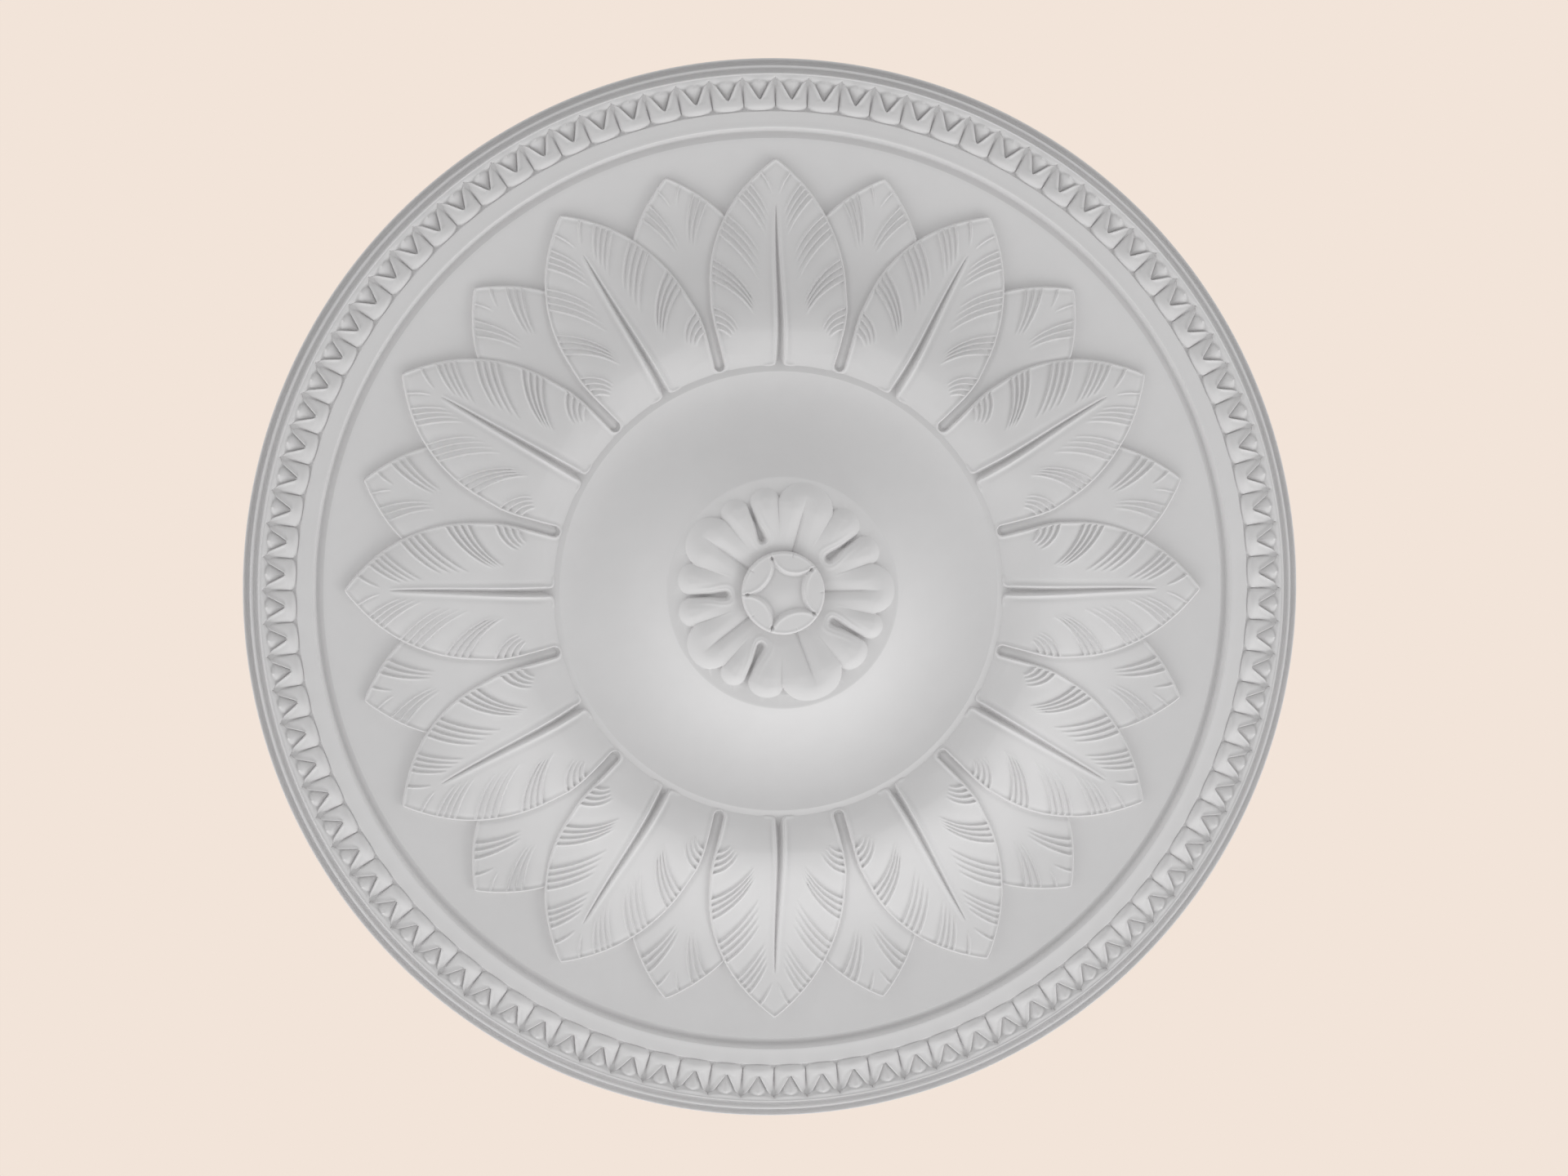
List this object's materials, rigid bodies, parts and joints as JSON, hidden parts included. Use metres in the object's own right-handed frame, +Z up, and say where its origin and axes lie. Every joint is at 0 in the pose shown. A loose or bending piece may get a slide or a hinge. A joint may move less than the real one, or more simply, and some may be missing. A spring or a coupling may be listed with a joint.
{
  "type": "ceiling rose",
  "caption": "Round plaster ceiling rose with a ring of overlapping leaves, a plain hollow ring and a raised rosette inside a rim band of tongues and darts.",
  "frame": {"origin": "centre of the flat back, in the plane of the ceiling that the rose is fixed to", "axes": "+Z up into the ceiling, so the carving faces down, along -Z; +X is the right and -Y the top of the picture"},
  "size_m": [0.76, 0.76, 0.0705],
  "materials": {
    "plaster": "matte painted plaster, off-white"
  },
  "bodies": {
    "root": {"ceiling_rose": "plaster"}
  },
  "joints": []
}
